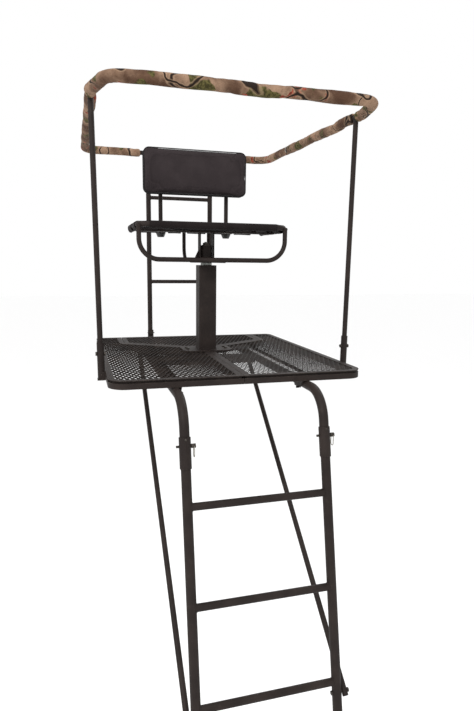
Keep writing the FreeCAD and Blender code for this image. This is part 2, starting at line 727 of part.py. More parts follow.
def tree_rung(z):
    ends = (-TREE_X, TREE_Y, z), (TREE_X, TREE_Y, z)
    shape = rod(*ends, TREE_RUNG_OD / 2).cut(rod(*ends, TREE_RUNG_OD / 2 - 1.5))
    for side in (-1, 1):
        shape = shape.cut(tree_upright_solid(side, TREE_OD / 2))
    return shape


def tree_bracket(side):
    """Bent strap from the deck's rear rim back and up in front of an upright."""
    x0, x1 = side * TREE_X - 15, side * TREE_X + 15
    face = TREE_Y - TREE_OD / 2 - GAP
    low, shelf = -DECK_EDGE + 2, -DECK_EDGE + 2 + STRAP
    tail = box(x0, x1, DECK_DEPTH, face, low, shelf)
    rise = box(x0, x1, face - STRAP, face, low, 16)
    x = side * TREE_X - 2
    web = Part.Face(Part.makePolygon([
        V(x, DECK_DEPTH, shelf), V(x, face - STRAP - WING_ROOM, shelf), V(x, DECK_DEPTH, -8),
        V(x, DECK_DEPTH, shelf)])).extrude(V(4, 0, 0))
    return tail.fuse(rise).fuse(web).removeSplitter().cut(tree_bolt_hole(side))


def tree_bolts():
    """Bolts from behind the uprights; the wing nuts turn on their front ends."""
    shapes = []
    for side in (-1, 1):
        x, back = side * TREE_X, TREE_Y + TREE_OD / 2
        head = rod((x, back, TREE_BOLT_Z), (x, back + 5, TREE_BOLT_Z), 7)
        shank = rod((x, back, TREE_BOLT_Z), (x, WING_FACE - 16, TREE_BOLT_Z), PIN_R)
        shapes.append(head.fuse(shank).removeSplitter())
    return group(shapes)


def wing_nut(side):
    """Hub with two flat wings that sweep forward."""
    x, z = side * TREE_X, TREE_BOLT_Z
    back = WING_FACE - 2 * GAP
    hub = rod((x, back, z), (x, back - 9, z), 8)
    for way in (-1, 1):
        wing = Part.Face(Part.makePolygon([
            V(x + way * 5, back - 2, z - 2), V(x + way * 19, back - 8, z - 2),
            V(x + way * 17, back - 19, z - 2), V(x + way * 5, back - 9, z - 2),
            V(x + way * 5, back - 2, z - 2)])).extrude(V(0, 0, 4))
        hub = hub.fuse(wing)
    hole = rod((x, back + 1, z), (x, back - 30, z), PIN_R + FIT)
    return hub.removeSplitter().cut(hole)


def seam_bolts():
    """Bolts through the rims of neighbouring deck panels."""
    shapes = []
    reach = PANEL_GAP + RIM_WIDTH
    for y in (110.0, 320.0, 500.0):
        shapes.append(bolt((-reach, y, SEAM_BOLT_Z), (reach, y, SEAM_BOLT_Z), 6.0, 4.0, 3.0))
    seam = math.atan(SEAM_SLOPE)
    for side in (-1, 1):
        for x in (150.0, 265.0):
            normal = V(-side * math.sin(seam), math.cos(seam), 0) * reach
            middle = V(side * x, SEAM_MID_Y + x * SEAM_SLOPE, SEAM_BOLT_Z)
            shapes.append(bolt(middle - normal, middle + normal, 6.0, 4.0, 3.0))
    return group(shapes)


def main():
    os.makedirs("parts", exist_ok=True)
    fasteners = seam_bolts()
    for kind, name in ((-1, "front_left"), (1, "front_right"), (0, "rear")):
        export("deck_frame_" + name, deck_frame(kind).cut(fasteners))
        export("deck_mesh_" + name, deck_mesh(kind))
    export("deck_bolts", group(fasteners.Solids + base_bolts().Solids))
    export("post_crossbar", crossbar())
    both("beam", beam)
    export("beam_gussets", pair(gusset))
    export("ladder_sleeves", pair(sleeve))
    both("ladder_rail", ladder_rail)
    export("ladder_rungs", group(ladder_rung(index) for index in range(RUNGS)))
    export("foot_plates", pair(foot))
    both("hitch_pin", hitch_pin)
    both("pin_ring", pin_ring)
    both("brace", brace)
    export("brace_bolts", brace_bolts())
    export("post_base_plate", base_plate())
    export("seat_post", seat_post())
    export("swivel_spindle", spindle())
    export("swivel_nut", spindle_nut())
    export("swivel_hub", swivel_hub())
    export("seat_frame", seat_frame())
    export("seat_hoop", seat_hoop())
    export("seat_crossbar", seat_crossbar())
    both("seat_support", seat_support)
    export("seat_sling", seat_sling())
    both("backrest_post", back_post)
    export("backrest_tabs", pair(back_tab))
    both("backrest_knob", back_knob)
    export("backrest_board", back_board())
    export("backrest_rivets", back_rivets())
    export("backrest_pad", back_pad())
    export("guard_front", guard_front())
    both("guard_arm", guard_arm)
    both("guard_post", guard_post)
    export("guard_sockets", pair(guard_socket))
    export("frame_bolts", group(guard_bolts().Solids + tree_bolts().Solids))
    export("guard_pad_front", pad_front())
    both("guard_pad_arm", pad_arm)
    both("tree_upright", tree_upright)
    export("tree_rungs", group(tree_rung(z) for z in TREE_RUNGS))
    export("tree_brackets", pair(tree_bracket))
    both("wing_nut", wing_nut)


main()
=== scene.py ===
import json
import math

import bmesh
import bpy
import numpy as np
from mathutils import Matrix, Vector, noise


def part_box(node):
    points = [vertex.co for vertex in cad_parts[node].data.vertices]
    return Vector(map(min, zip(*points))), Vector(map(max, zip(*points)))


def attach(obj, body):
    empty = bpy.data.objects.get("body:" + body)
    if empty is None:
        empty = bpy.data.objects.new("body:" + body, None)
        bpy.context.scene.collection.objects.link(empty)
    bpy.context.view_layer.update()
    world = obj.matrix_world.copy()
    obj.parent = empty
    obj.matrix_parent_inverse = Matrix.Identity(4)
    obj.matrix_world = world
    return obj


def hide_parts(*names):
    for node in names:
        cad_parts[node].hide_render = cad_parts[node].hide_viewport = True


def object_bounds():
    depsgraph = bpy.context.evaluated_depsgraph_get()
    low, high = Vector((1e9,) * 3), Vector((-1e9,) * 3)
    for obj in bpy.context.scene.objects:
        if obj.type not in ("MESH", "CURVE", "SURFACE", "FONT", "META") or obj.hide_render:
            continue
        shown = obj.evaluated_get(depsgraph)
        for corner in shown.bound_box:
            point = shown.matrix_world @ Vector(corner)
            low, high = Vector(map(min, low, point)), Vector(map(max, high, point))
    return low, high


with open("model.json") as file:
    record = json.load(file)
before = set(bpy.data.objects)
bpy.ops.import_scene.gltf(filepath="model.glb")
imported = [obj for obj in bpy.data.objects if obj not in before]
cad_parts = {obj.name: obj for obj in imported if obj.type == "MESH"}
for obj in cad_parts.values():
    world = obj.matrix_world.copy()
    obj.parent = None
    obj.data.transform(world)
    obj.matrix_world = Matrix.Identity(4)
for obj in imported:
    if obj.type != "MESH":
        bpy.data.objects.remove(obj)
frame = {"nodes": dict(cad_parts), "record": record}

# Ladder tree stand, in metres, +Z up, +Y towards the tree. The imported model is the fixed
# frame: steel parts keep their shape and get a finish here, and the fabric, the padding,
# the expanded-metal deck, the welds and the plastic plugs are made around it.

cad_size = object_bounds()
MM = 0.001
UP = Vector((0, 0, 1))


# ---- where things are ----
def centre(node):
    low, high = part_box(node)
    return (low + high) / 2


def islands(node):
    """Lowest and highest corner of each separate solid of a node, in order of place."""
    mesh = bmesh.new()
    mesh.from_mesh(frame["nodes"][node].data)
    bmesh.ops.remove_doubles(mesh, verts=mesh.verts, dist=1e-6)
    seen, found = set(), []
    for first in mesh.verts:
        if first in seen:
            continue
        seen.add(first)
        todo, corners = [first], []
        while todo:
            vert = todo.pop()
            corners.append(vert.co[:])
            for edge in vert.link_edges:
                near = edge.other_vert(vert)
                if near not in seen:
                    seen.add(near)
                    todo.append(near)
        found.append((tuple(map(min, zip(*corners))), tuple(map(max, zip(*corners)))))
    mesh.free()
    return [(Vector(low), Vector(high)) for low, high in sorted(found)]


def middles(node):
    return [(low + high) / 2 for low, high in islands(node)]


deck_low, deck_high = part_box("deck_frame_front_left")
DECK = Vector((0, deck_low.y, deck_high.z))      # middle of the deck's front edge


# ---- camera, floor and light ----
def add_camera():
    yaw, pitch, roll = 0.2817, 0.1667, -0.0119
    forward = Vector((math.sin(yaw) * math.cos(pitch), math.cos(yaw) * math.cos(pitch),
                      -math.sin(pitch)))
    right = Vector((math.cos(yaw), -math.sin(yaw), 0))
    down = forward.cross(right)
    across = right * math.cos(roll) + down * math.sin(roll)
    lower = down * math.cos(roll) - right * math.sin(roll)
    data = bpy.data.cameras.new("camera")
    data.lens = 28.17
    camera = bpy.data.objects.new("camera", data)
    turn = Matrix((across, -lower, -forward)).transposed()
    place = DECK + Vector((-0.547, -1.791, 0.3846))
    camera.matrix_world = Matrix.Translation(place) @ turn.to_4x4()
    bpy.context.scene.collection.objects.link(camera)
    bpy.context.scene.camera = camera


def add_area_light(name, place, target, size, power):
    data = bpy.data.lights.new(name, "AREA")
    data.shape = "RECTANGLE"
    data.size, data.size_y = size
    data.energy = power
    light = bpy.data.objects.new(name, data)
    light.location = place
    light.rotation_euler = (Vector(target) - Vector(place)).to_track_quat("-Z", "Y").to_euler()
    bpy.context.scene.collection.objects.link(light)


def add_stage():
    """Pale floor and sky, one large soft light in front and a weaker one behind."""
    scene = bpy.context.scene
    scene.view_settings.view_transform = "Standard"
    world = bpy.data.worlds.new("sky")
    world.use_nodes = True
    sky = world.node_tree.nodes["Background"]
    sky.inputs["Color"].default_value = (1.0, 1.0, 1.0, 1)
    sky.inputs["Strength"].default_value = 1.0
    scene.world = world
    reach = 40.0
    corners = [(x * reach, y * reach, cad_size[0].z - 0.0005)
               for x, y in ((-1, -1), (1, -1), (1, 1), (-1, 1))]
    mesh = bpy.data.meshes.new("floor")
    mesh.from_pydata(corners, [], [(0, 1, 2, 3)])
    floor = bpy.data.objects.new("floor", mesh)
    graph = Graph("floor_paint")
    graph.paint(color=(0.985, 0.985, 0.985), roughness=0.9)
    mesh.materials.append(graph.material)
    scene.collection.objects.link(floor)
    aim = DECK + Vector((0, 0.4, 0.2))
    add_area_light("key", aim + Vector((-2.6, -3.4, 3.4)), aim, (2.4, 2.4), 170)
    add_area_light("rim", aim + Vector((3.2, 2.4, 2.6)), aim, (2.0, 2.0), 60)


# ---- materials ----
class Graph:
    """A material under construction; positions are in object space, in metres."""

    def __init__(self, name):
        self.material = bpy.data.materials.new(name)
        self.material.use_nodes = True
        self.tree = self.material.node_tree
        self.shader = self.tree.nodes["Principled BSDF"]
        self.here = self.tree.nodes.new("ShaderNodeTexCoord").outputs["Object"]

    def add(self, kind, inputs, output=0, **settings):
        node = self.tree.nodes.new("ShaderNode" + kind)
        for key, value in settings.items():
            setattr(node, key, value)
        for key, value in inputs.items():
            self.put(node.inputs[key], value)
        return node.outputs[output]

    def put(self, socket, value):
        if isinstance(value, bpy.types.NodeSocket):
            self.tree.links.new(value, socket)
        elif socket.type == "RGBA" and len(value) == 3:
            socket.default_value = (*value, 1)
        else:
            socket.default_value = value

    def math(self, operation, first, second=0.0):
        return self.add("Math", {0: first, 1: second}, operation=operation)

    def scaled(self, x, y, z, source=None):
        return self.add("Mapping", {"Vector": source or self.here, "Scale": (x, y, z)})

    def noise(self, scale, detail=3.0, roughness=0.55, where=None):
        return self.add("TexNoise", {"Vector": where or self.here, "Scale": scale,
                                     "Detail": detail, "Roughness": roughness})

    def steps(self, factor, low, high, soft=True):
        """0 below low and 1 above high."""
        kind = "SMOOTHSTEP" if soft else "LINEAR"
        return self.add("MapRange", {"Value": factor, "From Min": low, "From Max": high},
                        interpolation_type=kind)

    def mix(self, factor, first, second):
        node = self.tree.nodes.new("ShaderNodeMix")
        node.data_type = "RGBA"
        for socket, value in zip((node.inputs[0], node.inputs[6], node.inputs[7]),
                                 (factor, first, second)):
            self.put(socket, value)
        return node.outputs[2]

    def between(self, factor, low, high):
        """A number from low to high as factor goes from 0 to 1."""
        return self.add("MapRange", {"Value": factor, "To Min": low, "To Max": high})

    def bump(self, height, distance, strength=1.0, below=None):
        inputs = {"Height": height, "Distance": distance, "Strength": strength}
        if below is not None:
            inputs["Normal"] = below
        return self.add("Bump", inputs)

    def edges(self, radius):
        """1 on edges sharper than the radius, 0 on flat and gently curved faces."""
        rounded = self.add("Bevel", {"Radius": radius}, samples=4)
        true = self.tree.nodes.new("ShaderNodeNewGeometry").outputs["Normal"]
        same = self.add("VectorMath", {0: rounded, 1: true}, "Value", operation="DOT_PRODUCT")
        return self.steps(same, 0.995, 0.9)

    def paint(self, color, roughness, normal=None, **rest):
        names = {"Base Color": color, "Roughness": roughness, "Normal": normal}
        names.update({key.replace("_", " ").title().replace("Ior", "IOR"): value
                      for key, value in rest.items()})
        for key, value in names.items():
            if value is not None:
                self.put(self.shader.inputs[key], value)
        return self.material


def powder_coat(name, dark, light, worn=None):
    """Baked powder coat: orange peel, faint colour drift, dust, and rubbed edges."""
    graph = Graph(name)
    drift = graph.steps(graph.noise(9.0, 4), 0.35, 0.7)
    speckle = graph.steps(graph.noise(1400.0, 1), 0.58, 0.72)
    color = graph.mix(drift, dark, light)
    color = graph.mix(graph.math("MULTIPLY", speckle, 0.3), color, (0.070, 0.058, 0.050))
    dust = graph.steps(graph.noise(38.0, 6, 0.7), 0.55, 0.8)
    color = graph.mix(graph.math("MULTIPLY", dust, 0.2), color, (0.080, 0.064, 0.052))
    if worn:
        patchy = graph.steps(graph.noise(120.0, 4), 0.45, 0.65)
        rubbed = graph.math("MULTIPLY", graph.edges(1.3 * MM), patchy)
        color = graph.mix(graph.math("MULTIPLY", rubbed, 0.75), color, worn)
    roughness = graph.between(graph.noise(60.0, 3), 0.48, 0.64)
    peel = graph.bump(graph.noise(650.0, 2), 0.25 * MM, 0.5)
    return graph.paint(color, roughness, peel, specular_ior_level=0.13)


def metal(name, tint, rough, brushed):
    """Plated or ground steel, with stains and fine scratches along one axis."""
    graph = Graph(name)
    stains = graph.steps(graph.noise(140.0, 5), 0.4, 0.75)
    color = graph.mix(stains, tint, tuple(part * 0.55 for part in tint))
    grain = graph.noise(1.0, 2, where=graph.scaled(*brushed))
    roughness = graph.between(grain, rough, rough + 0.25)
    scratches = graph.bump(grain, 0.06 * MM, 0.6)
    return graph.paint(color, roughness, scratches, metallic=1.0)


def weave(graph, pitch, where=None):
    """Crossed threads: whichever two axes lie in the cloth make its warp and weft."""
    turn = 2 * math.pi / pitch
    waves = graph.scaled(turn, turn, turn, where)
    parts = graph.tree.nodes.new("ShaderNodeSeparateXYZ")
    graph.put(parts.inputs[0], waves)
    sines = [graph.math("SINE", parts.outputs[axis]) for axis in range(3)]
    product = graph.math("MAXIMUM", graph.math("MULTIPLY", sines[0], sines[2]),
                         graph.math("MULTIPLY", sines[0], sines[1]))
    return graph.math("MAXIMUM", product, graph.math("MULTIPLY", sines[1], sines[2]))


def black_cloth(name, dark, light, pitch):
    """Coated polyester: basket weave, lint and a little fading."""
    graph = Graph(name)
    threads = weave(graph, pitch)
    fading = graph.steps(graph.noise(14.0, 5), 0.35, 0.75)
    color = graph.mix(fading, dark, light)
    color = graph.mix(graph.between(threads, 0.0, 0.35), color, tuple(3 * p for p in light))
    lint = graph.steps(graph.noise(900.0, 2, 0.8), 0.68, 0.74)
    color = graph.mix(graph.math("MULTIPLY", lint, 0.35), color, (0.16, 0.15, 0.14))
    creases = graph.bump(graph.noise(34.0, 4), 2.2 * MM, 0.30)
    normal = graph.bump(threads, 0.25 * MM, 0.8, creases)
    return graph.paint(color, 0.92, normal, sheen_weight=0.03, specular_ior_level=0.08)


def camouflage():
    """Printed woodland: bark, dark limbs with a pale edge, leaves, over a woven cloth."""
    graph = Graph("camo_cloth")
    bent = graph.add("VectorMath", {0: graph.here, 1: graph.add(
        "VectorMath", {0: graph.add("TexNoise", {"Vector": graph.here, "Scale": 16.0,
                                                 "Detail": 2.0}, "Color"),
                       1: (0.03, 0.03, 0.03)}, operation="MULTIPLY")}, operation="ADD")
    ground = graph.steps(graph.noise(8.0, 4, 0.55, bent), 0.38, 0.62)
    color = graph.mix(ground, (0.085, 0.044, 0.027), (0.35, 0.225, 0.150))
    mottle = graph.steps(graph.noise(30.0, 5, 0.65, bent), 0.44, 0.68)
    color = graph.mix(graph.math("MULTIPLY", mottle, 0.6), color, (0.135, 0.075, 0.045))
    fibre = graph.steps(graph.noise(160.0, 3, 0.7, bent), 0.5, 0.68)
    color = graph.mix(graph.math("MULTIPLY", fibre, 0.25), color, (0.045, 0.026, 0.016))
    for scale, tint, cut in ((13.0, (0.115, 0.100, 0.035), 0.60), (16.0, (0.32, 0.065, 0.038), 0.63)):
        patch = graph.steps(graph.noise(scale, 2, 0.5, bent), cut, cut + 0.03)
        veins = graph.steps(graph.noise(scale * 7, 3, 0.6, bent), 0.4, 0.6)
        leaf = graph.mix(veins, tint, tuple(0.4 * part for part in tint))
        color = graph.mix(patch, color, leaf)
    for axes, cut in (((4.2, 4.2, 3.6), 0.0080), ((7.5, 9.0, 9.5), 0.0150)):
        field = graph.noise(1.0, 0.5, 0.4, graph.scaled(*axes, bent))
        off = graph.math("ABSOLUTE", graph.math("SUBTRACT", field, 0.5))
        limb, edge, glow = (graph.steps(off, cut * wide, cut * wide * 0.8) for wide in (0.7, 1.1, 1.9))
        color = graph.mix(graph.math("MULTIPLY", glow, 0.35), color, (0.42, 0.29, 0.19))
        color = graph.mix(graph.math("MULTIPLY", edge, 0.8), color, (0.060, 0.034, 0.022))
        color = graph.mix(graph.math("MULTIPLY", limb, 0.95), color, (0.014, 0.009, 0.007))
    threads = weave(graph, 1.1 * MM)
    color = graph.mix(graph.between(threads, 0.0, 0.25), color, (0.02, 0.012, 0.008))
    creases = graph.bump(graph.noise(40.0, 4), 3.0 * MM, 0.5)
    normal = graph.bump(threads, 0.2 * MM, 0.6, creases)
    return graph.paint(color, 0.9, normal, sheen_weight=0.02, specular_ior_level=0.1)


def moulded(name, tint):
    """Moulded plastic with a fine spark-eroded grain and scuffs."""
    graph = Graph(name)
    scuffs = graph.steps(graph.noise(85.0, 6, 0.75), 0.6, 0.8)
    color = graph.mix(graph.math("MULTIPLY", scuffs, 0.4), tint, (0.10, 0.095, 0.09))
    grain = graph.bump(graph.noise(1800.0, 2), 0.1 * MM, 0.7)
    return graph.paint(color, graph.between(scuffs, 0.42, 0.65), grain)


def make_materials():
    steel = powder_coat("powder_coat", (0.0165, 0.0120, 0.0108), (0.026, 0.0190, 0.0165),
                        (0.15, 0.125, 0.105))
    return {
        "powder_coat": steel,
        "board": powder_coat("painted_board", (0.012, 0.011, 0.011), (0.02, 0.018, 0.017)),
        "deck_mesh": powder_coat("mesh_coat", (0.0140, 0.0105, 0.0092), (0.028, 0.0205, 0.0170)),
        "bare_steel": metal("turned_steel", (0.30, 0.31, 0.29), 0.30, (60, 60, 3000)),
        "zinc_plate": metal("black_zinc", (0.075, 0.066, 0.058), 0.42, (900, 300, 900)),
        "bright_wire": metal("bright_wire", (0.46, 0.44, 0.39), 0.34, (900, 300, 900)),
        "camo_pad": camouflage(),
        # the sling's cloth is the cushion's black cloth made darker: painted shade for the seat's
        # downward-facing underside
        "black_fabric": black_cloth("sling_cloth", (0.0080, 0.0060, 0.0060), (0.0130, 0.0100, 0.0098),
                                    1.4 * MM),
        "cushion": black_cloth("cushion_cloth", (0.0205, 0.0160, 0.0170), (0.0290, 0.0230, 0.0240),
                               1.2 * MM),
        "webbing": black_cloth("webbing", (0.010, 0.010, 0.010), (0.018, 0.017, 0.017), 2.2 * MM),
        "thread": black_cloth("thread", (0.045, 0.042, 0.04), (0.065, 0.06, 0.057), 0.6 * MM),
        "knob_plastic": moulded("knob_plastic", (0.014, 0.0135, 0.013)),
        "plug_plastic": moulded("plug_plastic", (0.011, 0.011, 0.011)),
        "pale_plastic": moulded("pale_plastic", (0.55, 0.53, 0.48)),
    }


def finish_frame():
    """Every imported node's slots get the detailed finish of its record slot."""
    for part in frame["record"]["subparts"]:
        node = frame["nodes"][part["node"]]
        finish = "bright_wire" if part["node"].startswith("pin_ring") else part["material_slot"]
        for slot in node.material_slots:
            slot.material = MATERIALS[finish]


# ---- mesh building ----
class Shape:
    """Points and faces collected for one piece."""

    def __init__(self):
        self.points = []
        self.faces = []

    def add(self, points, faces):
        base = len(self.points)
        self.points.extend(tuple(p) for p in points)
        self.faces.extend(tuple(base + i for i in face) for face in faces)

    def rings(self, rings, closed=False, capped=True):
        """Joins rings of equal length into a tube; closed joins the last ring to the first."""
        count, size = len(rings), len(rings[0])
        faces = []
        for i in range(count if closed else count - 1):
            a, b = i * size, (i + 1) % count * size
            faces += [(a + k, a + (k + 1) % size, b + (k + 1) % size, b + k) for k in range(size)]
        if capped and not closed:
            faces.append(tuple(reversed(range(size))))
            faces.append(tuple(range((count - 1) * size, count * size)))
        self.add([p for ring in rings for p in ring], faces)

    def piece(self, name, finish, body, slot, smooth=True):
        mesh = bpy.data.meshes.new(name)
        mesh.from_pydata(self.points, [], self.faces)
        mesh.validate()
        work = bmesh.new()
        work.from_mesh(mesh)
        bmesh.ops.recalc_face_normals(work, faces=work.faces)
        work.to_mesh(mesh)
        work.free()
        if smooth:
            mesh.shade_smooth()
        mesh.materials.append(MATERIALS[finish])
        piece = bpy.data.objects.new(name, mesh)
        bpy.context.scene.collection.objects.link(piece)
        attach(piece, body)
        return piece


def carried_frames(points, closed=False):
    """At each point of a path: the direction and two cross directions that don't twist."""
    path = np.asarray([tuple(p) for p in points], float)
    if closed:
        ahead, behind = np.roll(path, -1, 0), np.roll(path, 1, 0)
    else:
        ahead, behind = np.vstack([path[1:], path[-1:]]), np.vstack([path[:1], path[:-1]])
    along = ahead - behind
    along /= np.linalg.norm(along, axis=1)[:, None]
    side = np.cross(along[0], (0.0, 0.0, 1.0))
    if np.linalg.norm(side) < 0.1:
        side = np.cross(along[0], (0.0, 1.0, 0.0))
    sides = []
    for way in along:
        side = side - way * (side @ way)
        side = side / np.linalg.norm(side)
        sides.append(side)
    sides = np.array(sides)
    return path, along, sides, np.cross(sides, along)


def circle_rings(points, radius, sides=12, closed=False):
    """Rings round a path; radius is one number or one for each point."""
    path, _, side, lift = carried_frames(points, closed)
    radii = np.broadcast_to(radius, len(path))
    angles = np.arange(sides) * 2 * math.pi / sides
    return [p + r * (np.cos(angles)[:, None] * s + np.sin(angles)[:, None] * u)
            for p, r, s, u in zip(path, radii, side, lift)]


def spaced(points, step, closed=False):
    """The path again, with points about step apart."""
    path = np.asarray([tuple(p) for p in points], float)
    if closed:
        path = np.vstack([path, path[:1]])
    along = np.concatenate([[0], np.cumsum(np.linalg.norm(np.diff(path, axis=0), axis=1))])
    count = max(3, round(along[-1] / step))
    at = np.linspace(0, along[-1], count + 1)[:count if closed else count + 1]
    return np.stack([np.interp(at, along, path[:, k]) for k in range(3)], axis=1)


def rounded_path(corners, bend, step=4 * MM):
    """Straight runs joined by tangent arcs of one bend radius."""
    corners = [Vector(c) for c in corners]
    points = [corners[0]]
    for before, corner, after in zip(corners, corners[1:], corners[2:]):
        back, on = (before - corner).normalized(), (after - corner).normalized()
        half = back.angle(on) / 2
        middle = (back + on).normalized()
        hub = corner + middle * (bend / math.sin(half))
        first = corner + back * (bend / math.tan(half)) - hub
        last = corner + on * (bend / math.tan(half)) - hub
        for share in np.linspace(0, 1, 13):
            points.append(hub + first.slerp(last, share).normalized() * bend)
    points.append(corners[-1])
    return spaced(points, step)


# ---- welds ----
WELD = 2.0 * MM
RIPPLE = 3.2 * MM


def weld(shape, points, closed=True, size=WELD):
    """A rippled bead along a path, like a row of coins lying on each other."""
    path = spaced(points, RIPPLE / 4, closed)
    along = np.arange(len(path)) * RIPPLE / 4
    swell = 0.72 + 0.28 * np.abs(np.sin(math.pi * along / RIPPLE))
    drift = [1 + 0.18 * noise.noise(Vector(p) * 90) for p in path]
    shape.rings(circle_rings(path, size * swell * drift, 8, closed), closed)


def tube_joint(end, way, radius, host, host_way, host_radius, count=48):
    """Where a tube that ends at a round host meets the host's surface."""
    way, host_way = Vector(way).normalized(), Vector(host_way).normalized()
    side = way.cross(host_way).normalized()
    lift = side.cross(way)
    loop = []
    for k in range(count):
        turn = 2 * math.pi * k / count
        point = Vector(end) + radius * (math.cos(turn) * side + math.sin(turn) * lift)
        gap = point - Vector(host)
        gap -= host_way * gap.dot(host_way)
        step = way - host_way * way.dot(host_way)
        a, b, c = step.dot(step), 2 * gap.dot(step), gap.dot(gap) - host_radius ** 2
        root = math.sqrt(max(0.0, b * b - 4 * a * c))
        loop.append(point + way * ((-b - root) / (2 * a)))
    return loop


def flat_circle(middle, radius, count=48, axis=UP):
    spin = axis.to_track_quat("Z", "Y")
    return [Vector(middle) + spin @ Vector((radius * math.cos(t), radius * math.sin(t), 0))
            for t in np.arange(count) * 2 * math.pi / count]


def rectangle(low, high, z, inset=0.0):
    x0, x1, y0, y1 = low.x + inset, high.x - inset, low.y + inset, high.y - inset
    return [(x0, y0, z), (x1, y0, z), (x1, y1, z), (x0, y1, z)]


RAIL_R = (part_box("ladder_rail_right")[1].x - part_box("ladder_rail_right")[0].x) / 2


def ladder_line():
    """Top rung's middle and the ladder's downward direction."""
    rungs = sorted(middles("ladder_rungs"), key=lambda p: -p.z)
    return rungs, (rungs[-1] - rungs[0]).normalized()


def add_stand_welds():
    beads = Shape()
    rungs, down = ladder_line()
    rail_x = centre("ladder_rail_right").x
    rung_r = (islands("ladder_rungs")[0][1].z - islands("ladder_rungs")[0][0].z) / 2
    for rung in rungs:
        for side in (-1, 1):
            host = Vector((side * rail_x, rung.y, rung.z))
            weld(beads, tube_joint(rung, (side, 0, 0), rung_r, host, down, RAIL_R))
    upright_r = (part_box("tree_upright_left")[1].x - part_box("tree_upright_left")[0].x) / 2
    for low, high in islands("tree_rungs"):
        for name in ("tree_upright_left", "tree_upright_right"):
            host = centre(name)
            middle = (low + high) / 2
            weld(beads, tube_joint(middle, (host.x, 0, 0), (high.z - low.z) / 2, host, UP, upright_r))
    for low, high in islands("ladder_sleeves"):
        top = (low + high) / 2
        reach = (high.z - low.z) / 2 - 3 * MM
        weld(beads, flat_circle(top + down * reach, RAIL_R + 1.2 * MM, axis=down), size=1.6 * MM)
    for low, high in islands("foot_plates"):
        side = math.copysign(1, low.x)
        spot = rungs[0] + down * ((high.z - rungs[0].z) / down.z)
        weld(beads, flat_circle((side * rail_x, spot.y, high.z), RAIL_R), size=2.4 * MM)
    low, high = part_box("seat_post")
    weld(beads, rectangle(low, high, low.z + 0.5 * MM), size=2.6 * MM)
    for low, high in islands("beam_gussets"):
        plate_x = low.x if low.x > 0 else high.x
        edge = plate_x + math.copysign(9 * MM, plate_x)
        for x in (edge, edge + math.copysign(4 * MM, plate_x)):
            weld(beads, [(x, low.y + 5 * MM, high.z), (x, high.y - 4 * MM, high.z)], closed=False,
                 size=1.5 * MM)
    for low, high in islands("tree_brackets"):
        weld(beads, [(low.x, low.y, low.z + 5 * MM), (high.x, low.y, low.z + 5 * MM)], closed=False)
        weld(beads, [(low.x, low.y, low.z), (high.x, low.y, low.z)], closed=False)
    for side in ("left", "right"):
        post_low, post_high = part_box("guard_post_" + side)
        x = post_low.x + 9.5 * MM if side == "left" else post_high.x - 9.5 * MM
        y = (post_low.y + post_high.y) / 2
        host = Vector((x, y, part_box("guard_arm_" + side)[0].z + GUARD_R + 1.2 * MM))
        weld(beads, tube_joint((x, y, host.z - 0.05), (0, 0, 1), 9.5 * MM, host, (0, 1, 0), GUARD_R))
    for low, high in islands("guard_sockets"):
        edge = high.x if low.x < 0 else low.x
        for y in (low.y + 2 * MM, high.y - 2 * MM):
            weld(beads, [(edge, y, low.z + 3 * MM), (edge, y, DECK.z - 3 * MM)], closed=False)
    beads.piece("stand_welds", "powder_coat", "stand", "powder_coat")


def add_seat_welds():
    beads = Shape()
    low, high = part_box("swivel_hub")
    nut = centre("swivel_nut")
    plate_top = low.z + 21 * MM
    weld(beads, flat_circle((0, nut.y, plate_top + 0.5 * MM), 24.5 * MM), size=2.2 * MM)
    for side in (-1, 1):
        for x in (27 * MM, 32 * MM):
            weld(beads, [(side * x, nut.y - 19 * MM, plate_top), (side * x, nut.y + 19 * MM, plate_top)],
                 closed=False, size=1.7 * MM)
            weld(beads, [(side * x, nut.y - 19 * MM, high.z), (side * x, nut.y + 19 * MM, high.z)],
                 closed=False, size=1.4 * MM)
    tube_z = centre("seat_frame").z
    tube_r = (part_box("seat_frame")[1].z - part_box("seat_frame")[0].z) / 2
    rear_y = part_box("seat_frame")[1].y - tube_r
    for name in ("seat_support_left", "seat_support_right"):
        x = centre(name).x
        weld(beads, tube_joint((x, rear_y, tube_z - 0.05), (0, 0, 1), 8 * MM,
                               (x, rear_y, tube_z), (1, 0, 0), tube_r))
        weld(beads, [(x - math.copysign(8 * MM, x), nut.y - 8 * MM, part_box(name)[0].z + 8 * MM),
                     (x - math.copysign(8 * MM, x), nut.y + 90 * MM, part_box(name)[0].z + 8 * MM)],
             closed=False, size=1.8 * MM)
    hoop = centre("seat_hoop")
    for side in (-1, 1):
        x = side * (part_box("seat_frame")[1].x - tube_r)
        weld(beads, tube_joint((x, hoop.y, tube_z - 0.05), (0, 0, 1), 9.5 * MM,
                               (x, hoop.y, tube_z), (0, 1, 0), tube_r))
    weld(beads, [(-46 * MM, hoop.y + 8 * MM, hoop_low_z() + 14 * MM),
                 (46 * MM, hoop.y + 8 * MM, hoop_low_z() + 14 * MM)], closed=False, size=1.8 * MM)
    beads.piece("seat_welds", "powder_coat", "seat", "powder_coat")


def hoop_low_z():
    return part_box("seat_hoop")[0].z


# ---- plugs and rivets ----
def plug(shape, mouth, way, radius):
    """Domed push-in plug on the open end of a tube."""
    profile = [(0.985, -0.2), (1.02, 0.3), (1.02, 1.6), (0.93, 2.7), (0.70, 3.6), (0.40, 4.2), (0.08, 4.4)]
    spin = Vector(way).to_track_quat("Z", "Y")
    turns = np.arange(32) * 2 * math.pi / 32
    shape.rings([[Vector(mouth) + spin @ Vector((radius * share * math.cos(t),
                                                 radius * share * math.sin(t), rise * MM))
                  for t in turns] for share, rise in profile])


